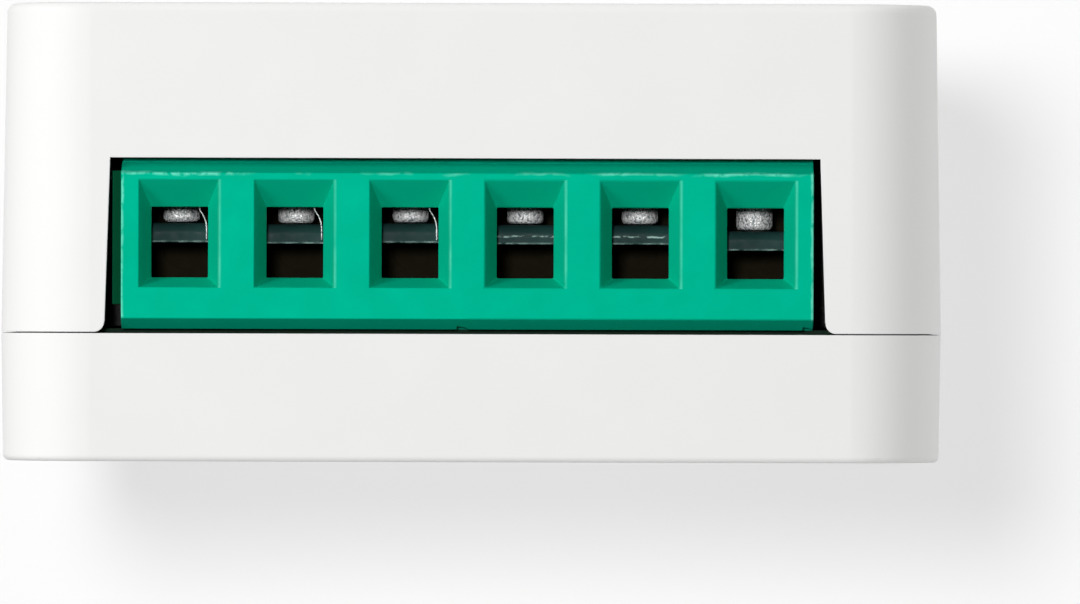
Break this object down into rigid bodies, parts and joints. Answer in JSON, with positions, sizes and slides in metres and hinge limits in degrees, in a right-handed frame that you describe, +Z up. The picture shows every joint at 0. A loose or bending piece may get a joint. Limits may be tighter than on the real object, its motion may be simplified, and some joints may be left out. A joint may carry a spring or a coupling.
{
  "type": "smart relay module",
  "caption": "Small white in-wall relay box with rounded corners and a green screw terminal block in a front window, for switching a mains load.",
  "frame": {"origin": "middle of the underside of the base", "axes": "+Z up through the top of the cover, -Y out of the terminal side, +X to the right seen from there"},
  "size_m": [0.041, 0.041, 0.0199],
  "materials": {
    "white_plastic": "satin moulded",
    "green_plastic": "satin moulded",
    "contact_brass": "dull",
    "leaf_steel": "scuffed zinc plate",
    "screw_steel": "bright zinc plate",
    "board_green": "solder mask",
    "black_plastic": "moulded",
    "clear_plastic": "clear",
    "blue_plastic": "moulded",
    "cream_plastic": "moulded",
    "iron": "plated",
    "copper": "enamelled",
    "tin_plate": "tinned",
    "sleeve": "shrink sleeve",
    "blue_coat": "dipped coat",
    "green_coat": "fired coat"
  },
  "bodies": {
    "housing": {"cover": "white_plastic", "base": "white_plastic", "circuit_board": "board_green", "terminal_block_1": "green_plastic", "terminal_block_2": "green_plastic", "button_switch": "black_plastic", "status_lamp": "cream_plastic", "light_pipe": "clear_plastic", "relay_case": "blue_plastic", "relay_base": "black_plastic", "relay_yoke": "iron", "relay_core": "iron", "relay_bobbin": "cream_plastic", "relay_winding": "copper", "fixed_contact": "copper", "radio_board": "board_green", "radio_shield": "tin_plate", "input_capacitor": "sleeve", "output_capacitor": "sleeve", "power_inductor": "black_plastic", "varistor": "blue_coat", "fuse_resistor": "green_coat", "rectifier": "black_plastic", "supply_chip": "black_plastic", "contact_cage_1": "contact_brass", "contact_cage_2": "contact_brass", "contact_cage_3": "contact_brass", "contact_cage_4": "contact_brass", "contact_cage_5": "contact_brass", "contact_cage_6": "contact_brass"},
    "button": {"button_cap": "white_plastic", "switch_plunger": "black_plastic"},
    "armature": {"relay_armature": "iron", "contact_spring": "copper"},
    "clamp_1": {"clamp_leaf_1": "leaf_steel"},
    "screw_1": {"clamp_screw_1": "screw_steel"},
    "clamp_2": {"clamp_leaf_2": "leaf_steel"},
    "screw_2": {"clamp_screw_2": "screw_steel"},
    "clamp_3": {"clamp_leaf_3": "leaf_steel"},
    "screw_3": {"clamp_screw_3": "screw_steel"},
    "clamp_4": {"clamp_leaf_4": "leaf_steel"},
    "screw_4": {"clamp_screw_4": "screw_steel"},
    "clamp_5": {"clamp_leaf_5": "leaf_steel"},
    "screw_5": {"clamp_screw_5": "screw_steel"},
    "clamp_6": {"clamp_leaf_6": "leaf_steel"},
    "screw_6": {"clamp_screw_6": "screw_steel"}
  },
  "joints": [
    {"name": "clamp_1_travel", "type": "slide", "parent": "housing", "child": "clamp_1", "axis": [0, 0, 1], "range_m": [-0.0014, 0.0009]},
    {"name": "screw_1_turn", "type": "hinge", "parent": "clamp_1", "child": "screw_1", "pos_m": [-0.01265, -0.01601, 0.012], "axis": [0, 0, 1], "range_deg": [-1008.5, 648.5]},
    {"name": "clamp_2_travel", "type": "slide", "parent": "housing", "child": "clamp_2", "axis": [0, 0, 1], "range_m": [-0.00135, 0.00095]},
    {"name": "screw_2_turn", "type": "hinge", "parent": "clamp_2", "child": "screw_2", "pos_m": [-0.00765, -0.01601, 0.012], "axis": [0, 0, 1], "range_deg": [-972.5, 684.5]},
    {"name": "clamp_3_travel", "type": "slide", "parent": "housing", "child": "clamp_3", "axis": [0, 0, 1], "range_m": [-0.0014, 0.0009]},
    {"name": "screw_3_turn", "type": "hinge", "parent": "clamp_3", "child": "screw_3", "pos_m": [-0.00265, -0.01601, 0.012], "axis": [0, 0, 1], "range_deg": [-1008.5, 648.5]},
    {"name": "clamp_4_travel", "type": "slide", "parent": "housing", "child": "clamp_4", "axis": [0, 0, 1], "range_m": [-0.00135, 0.00095]},
    {"name": "screw_4_turn", "type": "hinge", "parent": "clamp_4", "child": "screw_4", "pos_m": [0.00235, -0.01601, 0.012], "axis": [0, 0, 1], "range_deg": [-972.5, 684.5]},
    {"name": "clamp_5_travel", "type": "slide", "parent": "housing", "child": "clamp_5", "axis": [0, 0, 1], "range_m": [-0.00135, 0.00095]},
    {"name": "screw_5_turn", "type": "hinge", "parent": "clamp_5", "child": "screw_5", "pos_m": [0.00735, -0.01601, 0.012], "axis": [0, 0, 1], "range_deg": [-972.5, 684.5]},
    {"name": "clamp_6_travel", "type": "slide", "parent": "housing", "child": "clamp_6", "axis": [0, 0, 1], "range_m": [-0.0011, 0.0012]},
    {"name": "screw_6_turn", "type": "hinge", "parent": "clamp_6", "child": "screw_6", "pos_m": [0.01235, -0.01601, 0.012], "axis": [0, 0, 1], "range_deg": [-792.5, 864.5]},
    {"name": "button_press", "type": "slide", "parent": "housing", "child": "button", "axis": [0, 0, -1], "range_m": [0, 0.0003], "stiffness_N_per_m": 4000},
    {"name": "armature_pull", "type": "hinge", "parent": "housing", "child": "armature", "pos_m": [0.00395, -0.0066, 0.01415], "axis": [0, -1, 0], "range_deg": [0, 3.1], "stiffness_Nm_per_rad": 0.02}
  ],
  "couplings": [
    {"joint": "screw_1_turn", "follows": "clamp_1_travel", "rad_per_m": 12566},
    {"joint": "screw_2_turn", "follows": "clamp_2_travel", "rad_per_m": 12566},
    {"joint": "screw_3_turn", "follows": "clamp_3_travel", "rad_per_m": 12566},
    {"joint": "screw_4_turn", "follows": "clamp_4_travel", "rad_per_m": 12566},
    {"joint": "screw_5_turn", "follows": "clamp_5_travel", "rad_per_m": 12566},
    {"joint": "screw_6_turn", "follows": "clamp_6_travel", "rad_per_m": 12566}
  ]
}
